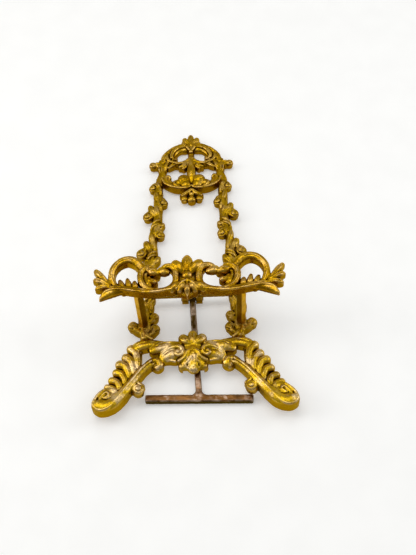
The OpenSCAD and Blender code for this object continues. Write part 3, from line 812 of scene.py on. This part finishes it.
# ---------------------------------------------------------------- bars, arms and leg
def model_crossbar():
    """The bar between the rails and the two round ears that carry the hinge pin."""
    wax = Wax((0, 62, -2.6), (19.4, 67.6, 5.6), mirrored=True)
    half = CROSSBAR_H / 2
    wax.box((-20, HINGE[0] - half, 2.9), (19, HINGE[0] + half, 5.3), 0.7)
    ear = wax.window((0, 62, -4), (8, 70, 6))
    x, y, z = wax.grid(ear)
    y = y - HINGE[0]
    disc = np.sqrt(y * y + (z - HINGE[1]) ** 2) - EAR_R + 0 * x
    stalk = np.maximum(np.abs(y) - 2.1, np.maximum(-z, z - 4)) + 0 * x
    thick = np.abs(x - EAR_X) - EAR_T / 2
    shape = np.maximum(np.minimum(disc, stalk), thick)
    wax.merge((slices(ear), shape.astype(np.float32)), 0.5)
    return wax


def model_arm():
    """A square bar that stands corner forward."""
    half = ARM_SIDE / 2
    wax = Wax((ARM_X - half - 0.2, ARM_Y - half - 0.2, CASTING_T - 0.1),
              (ARM_X + half + 0.2, ARM_Y + half + 0.2, LEDGE_Z + 0.4))
    wax.box((ARM_X - 0.8 * half, ARM_Y - 0.8 * half, CASTING_T),
            (ARM_X + 0.8 * half, ARM_Y + 0.8 * half, LEDGE_Z + 0.3), 0.6, turn=45)
    return wax


# the folded leg runs from the hinge down to the T-bar, which lies just behind the castings
LEG_RISE = HINGE[1] + BAR_SIDE / 2 + LEG_GAP
LEG_LEN = math.hypot(HINGE[0] - BAR_Y, LEG_RISE)
LEG_FALL = math.atan2(LEG_RISE, HINGE[0] - BAR_Y)


def model_leg():
    """The T-shaped leg along y, with the middle of its eye at the origin."""
    half = SHAFT_SIDE / 2
    side = BAR_SIDE / 2
    reach = side + 2.4
    wax = Wax((-BAR_LEN / 2, -LEG_LEN - reach, -side), (BAR_LEN / 2, EAR_R, side),
              voxel=COARSE_VOXEL)
    wax.box((-half, -LEG_LEN, -half), (half, -1.6, half), 0.7)
    wax.box((-BAR_LEN / 2, -LEG_LEN - side, -side), (BAR_LEN / 2, -LEG_LEN + side, side), 0.75,
            2.8, turn=-BAR_CANT)
    wax.ball((0, -LEG_LEN + 0.7, 0.2), 2.3, 0.62, 0.8, walls=False)
    # the braze spreads only sideways, so both faces are dressed flat again
    x, y, z = wax.grid([(0, n) for n in wax.field.shape])
    thick = half + (side - half) * np.clip((-LEG_LEN + 4.2 - y) / 2.4, 0, 1)
    wax.field = np.maximum(wax.field, (np.abs(z) - thick + 0 * x).astype(np.float32))
    around = wax.window((-3, -4, -3), (3, 3, 3))
    x, y, z = wax.grid(around)
    out = np.sqrt(y * y + z * z) + 0 * x
    eye = np.maximum(out - EYE_R, np.abs(x) - half)
    bore = out - PIN_R - 0.06
    wax.merge((slices(around), eye.astype(np.float32)), 0.4)
    wax.carve((slices(around), bore.astype(np.float32)), 0.1)
    return wax


# ---------------------------------------------------------------- materials
def colour(*rgb):
    return (*rgb, 1.0)


class Nodes:
    """Short names for the shader nodes that the metals, the paper and the room use."""

    def __init__(self, owner, surface="Principled BSDF"):
        owner.use_nodes = True
        self.tree = owner.node_tree
        self.surface = self.tree.nodes[surface]

    def put(self, kind, **values):
        """A new node, with its settings and its sockets' values by name."""
        node = self.tree.nodes.new(kind)
        for key, value in values.items():
            if hasattr(node, key):
                setattr(node, key, value)
            else:
                node.inputs[key.replace("_", " ")].default_value = value
        return node

    def feed(self, socket, value):
        """Sets a socket to a number or a colour, or links another node's output to it."""
        if isinstance(value, (int, float, tuple)):
            socket.default_value = value
        else:
            self.tree.links.new(value, socket)

    def set(self, name, value):
        self.feed(self.surface.inputs[name], value)

    def place(self, system="Object"):
        return self.put("ShaderNodeTexCoord").outputs[system]

    def noise(self, scale, detail=4.0, roughness=0.55):
        node = self.put("ShaderNodeTexNoise", Scale=scale, Detail=detail, Roughness=roughness)
        self.feed(node.inputs["Vector"], self.place())
        return node.outputs["Fac"]

    def height(self, system="Object"):
        """The y of each point."""
        split = self.put("ShaderNodeSeparateXYZ")
        self.feed(split.inputs["Vector"], self.place(system))
        return split.outputs["Y"]

    def ramp(self, value, low, high, a=0.0, b=1.0):
        """From a to b, smoothly, as the value goes from low to high."""
        node = self.put("ShaderNodeMapRange", interpolation_type="SMOOTHSTEP", From_Min=low,
                        From_Max=high, To_Min=a, To_Max=b)
        self.feed(node.inputs["Value"], value)
        return node.outputs["Result"]

    def combine(self, a, b, operation="ADD"):
        node = self.put("ShaderNodeMath", operation=operation)
        self.feed(node.inputs[0], a)
        self.feed(node.inputs[1], b)
        return node.outputs[0]

    def mix(self, factor, a, b):
        """Colour a where the factor is 0, and colour b where it is 1."""
        node = self.put("ShaderNodeMix", data_type="RGBA")
        sockets = {socket.identifier: socket for socket in (*node.inputs, *node.outputs)}
        self.feed(sockets["Factor_Float"], factor)
        self.feed(sockets["A_Color"], a)
        self.feed(sockets["B_Color"], b)
        return sockets["Result_Color"]

    def bump(self, height, strength, distance):
        node = self.put("ShaderNodeBump", Strength=strength, Distance=distance)
        self.feed(node.inputs["Height"], height)
        self.set("Normal", node.outputs["Normal"])


def metal(name, body, rubbed, dirt, rough, patina_and_side_shade=True, wall_shade=0.42, bare=0.3, upper=None):
    """Aged metal: dirt in the hollows, painted shade on the walls, rubbed ridges and bare patches on its
    faces.

    The wall shade argument is how bright the places with painted shade are, bare how strong the bare
    patches are, and upper the colour of the leg's shaft above its lower end. Without the patina
    and shade values the metal is plain.
    """
    material = bpy.data.materials.new(name)
    n = Nodes(material)
    # the body colour with painted shade, for the walls
    shaded_body = (wall_shade * body[0], 0.82 * wall_shade * body[1], 0.5 * wall_shade * body[2], 1.0)
    blotch = n.ramp(n.noise(190, 4), 0.36, 0.66)
    speck = n.noise(900, 5, 0.65)
    tint = n.mix(blotch, body, (0.66 * body[0], 0.62 * body[1], 0.5 * body[2], 1.0))
    if upper:
        tint = n.mix(n.ramp(n.height(), *SHAFT_TURNS), tint, upper)
    if patina_and_side_shade:
        split = n.put("ShaderNodeSeparateColor")
        patina_and_side_shade_node = n.put("ShaderNodeAttribute", attribute_name="patina_and_side_shade")
        n.feed(split.inputs["Color"], patina_and_side_shade_node.outputs["Color"])
        fine, broad, side_shade_and_tone = split.outputs
        hollow = n.combine(n.ramp(fine, 0.42, 0.60), n.ramp(broad, 0.44, 0.74, 0.0, 0.6))
        hollow = n.combine(hollow, n.ramp(speck, 0.4, 0.7, 0.55, 1.2), "MULTIPLY")
        hollow = n.ramp(hollow, 0.10, 0.95, 0.0, 0.95)
        edge = n.combine(n.ramp(fine, 0.36, 0.18), n.ramp(n.noise(320, 4), 0.34, 0.6), "MULTIPLY")
        # painted shade: where the shade value is high the body colour gives way to its shaded copy
        tint = n.mix(n.ramp(side_shade_and_tone, 0.15, 0.9, 0.0, 0.9), tint, shaded_body)
        patch = n.combine(n.ramp(side_shade_and_tone, 0.40, 0.12, 0.0, bare),
                          n.ramp(n.noise(150, 5, 0.6), 0.46, 0.6), "MULTIPLY")
        tint = n.mix(patch, tint, rubbed)
        edge = n.combine(edge, n.ramp(side_shade_and_tone, 0.5, 0.85, 1.0, 0.3), "MULTIPLY")
        tint = n.mix(edge, tint, rubbed)
        tint = n.mix(hollow, tint, dirt)
        coarse = n.combine(n.ramp(hollow, 0.0, 1.0, rough, rough + 0.38),
                           n.ramp(edge, 0.0, 1.0, 0.0, -0.08))
    else:
        coarse = n.ramp(blotch, 0, 1, rough, rough + 0.15)
    coarse = n.combine(coarse, n.ramp(speck, 0.3, 0.7, -0.06, 0.10))
    n.set("Base Color", tint)
    n.set("Metallic", 1.0)
    n.set("Specular Tint", GRAZING_TINT)
    n.set("Roughness", coarse)
    height = n.combine(n.noise(520, 5, 0.6), n.combine(n.noise(1700, 3, 0.6), 0.35, "MULTIPLY"))
    n.bump(height, 0.4, 0.0004)
    return material


GOLD_DIRT = colour(0.050, 0.026, 0.002)
GRAZING_TINT = colour(0.95, 0.82, 0.45)  # keeps the metals warm where they are seen edge on
SHAFT_TURNS = (-0.066, -0.050)  # metres along y, over which the leg's shaft changes colour
brass = metal("cast_brass", colour(0.51, 0.295, 0.006), colour(0.84, 0.57, 0.21), GOLD_DIRT,
              rough=0.32)
brass_crest = metal("cast_brass_crest", colour(0.56, 0.315, 0.004), colour(0.86, 0.57, 0.19),
                    GOLD_DIRT, rough=0.28)
brass_foot = metal("cast_brass_foot", colour(0.72, 0.445, 0.014), colour(0.93, 0.73, 0.48),
                   colour(0.080, 0.042, 0.003), rough=0.30, bare=0.5)
brass_ledge = metal("cast_brass_ledge", colour(0.59, 0.325, 0.007), colour(0.90, 0.61, 0.26),
                    GOLD_DIRT, rough=0.26)
# the arms' brass: their walls and the sides that look to the middle take dark red-brown painted shade
brass_arm = metal("burnt_brass", colour(0.60, 0.31, 0.004), colour(0.80, 0.52, 0.12),
                  colour(0.040, 0.012, 0.001), rough=0.36, wall_shade=0.26)
# the leg's copper: its walls take painted shade that is almost black
copper = metal("worn_copper_rod", colour(0.25, 0.115, 0.035), colour(0.66, 0.50, 0.38),
               colour(0.014, 0.003, 0.0005), rough=0.38, wall_shade=0.05, bare=0.62,
               upper=colour(0.085, 0.045, 0.004))
steel = metal("dull_pin_steel", colour(0.30, 0.25, 0.19), colour(0.6, 0.55, 0.5),
              colour(0.04, 0.03, 0.02), rough=0.42, patina_and_side_shade=False)

# ---------------------------------------------------------------- pieces on the frame
SIDES = (("right", False), ("left", True))
LEG_PLACE = (Matrix.Translation((0, *HINGE)) @ Matrix.Rotation(LEG_FALL, 4, "X")
             @ Matrix.Rotation(LEG_SKEW, 4, "Z"))


def stand_for(node, piece, body="frame"):
    """Puts a piece in the place of a CAD node, on the same body."""
    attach(piece, body)
    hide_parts(node)


stand_for("crest", cast("crest_casting", model_crest(), brass_crest, seed=3,
                                       place=Matrix.Translation((CREST_SHIFT, 0, 0))))
rail_wax = model_rail()
for side, flip in SIDES:
    stand_for(side + "_rail",
              cast(side + "_rail_casting", rail_wax, brass, seed=11 + flip, flip=flip))
stand_for("foot_casting",
          cast("foot_scrolls", model_foot(), brass_foot, seed=21, toe_shift=TOE_SHIFT))
stand_for("ledge",
          cast("ledge_casting", model_ledge(), brass_ledge, seed=31, middle_shift=LEDGE_SHIFT))
stand_for("crossbar", cast("hinge_crossbar", model_crossbar(), brass, seed=41))
arm_wax = model_arm()
for side, flip in SIDES:
    # the arms take painted shade on the sides that look to the middle
    stand_for(side + "_arm",
              cast(side + "_arm_bar", arm_wax, brass_arm, seed=51 + flip, rough=0.03, flip=flip,
                   shade_inside=True))
stand_for("back_leg",
          cast("back_leg_rod", model_leg(), copper, seed=61, place=LEG_PLACE), body="leg")
for node in ("hinge_pin", "crest_screws", "foot_screws", "arm_screws"):
    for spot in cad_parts[node].material_slots:
        spot.material = steel


# ---------------------------------------------------------------- floor, light and camera
def backdrop():
    """A sheet of pale paper, a little lit from within so that shadows stay soft."""
    size = 3.0
    corners = np.array([[-size, -size, 0], [size, -size, 0], [size, size, 0], [-size, size, 0]])
    floor = make_mesh("floor", corners, np.array([[0, 1, 2, 3]]))
    paper = bpy.data.materials.new("pale_paper")
    n = Nodes(paper)
    grain = n.noise(60, 3)
    n.set("Base Color", n.mix(n.ramp(grain, 0.3, 0.7), colour(0.80, 0.802, 0.795),
                              colour(0.83, 0.832, 0.825)))
    n.set("Roughness", 0.75)
    n.set("Emission Color", colour(1.0, 0.995, 0.97))
    n.set("Emission Strength", 0.31)
    floor.data.materials.append(paper)


def light(name, place, size, watts, tint):
    """A soft lamp that looks at the middle of the easel."""
    lamp = bpy.data.lights.new(name, "AREA")
    lamp.shape = "RECTANGLE"
    lamp.size, lamp.size_y = size
    lamp.energy = watts
    lamp.color = tint
    obj = bpy.data.objects.new(name, lamp)
    obj.location = place
    obj.rotation_euler = (LIGHT_AIM - Vector(place)).to_track_quat("-Z", "Y").to_euler()
    bpy.context.scene.collection.objects.link(obj)


LIGHT_AIM = Vector((0, 0, 0.01))
backdrop()
light("top_softbox", (-0.10, 0.12, 0.80), (0.60, 0.40), 1.6, (1.0, 0.99, 0.97))
light("left_softbox", (-0.70, 0.02, 0.46), (0.35, 0.5), 1.6, (1.0, 0.985, 0.96))
light("right_softbox", (0.70, 0.12, 0.46), (0.35, 0.5), 1.2, (0.97, 0.985, 1.0))


def room():
    """A pale room, brighter behind the easel than in front of it."""
    world = bpy.data.worlds.new("room")
    n = Nodes(world, "Background")
    n.set("Color", colour(0.98, 0.985, 0.985))
    n.set("Strength", n.ramp(n.height("Generated"), -0.9, 0.4, 0.28, 0.50))
    bpy.context.scene.world = world


room()
bpy.context.scene.view_settings.view_transform = "Standard"

# camera: its place and what it looks at, in the easel's plane, and its roll and lens
CAMERA_AT = Vector((13.0, -167.6, 338.7))
CAMERA_AIM = Vector((8.21, 77.86, 0))
CAMERA_ROLL = math.radians(-3.06)
LENS = 52.93
SENSOR = 36


def look():
    """Sets up the camera."""
    data = bpy.data.cameras.new("camera")
    data.lens = LENS
    data.sensor_width = SENSOR
    camera = bpy.data.objects.new("camera", data)
    turn = (CAMERA_AIM - CAMERA_AT).to_track_quat("-Z", "Y").to_matrix().to_4x4()
    camera.matrix_world = (Matrix.Translation(LAY @ CAMERA_AT) @ Matrix.Rotation(-TILT, 4, "X")
                           @ turn @ Matrix.Rotation(CAMERA_ROLL, 4, "Z"))
    bpy.context.scene.collection.objects.link(camera)
    bpy.context.scene.camera = camera


look()
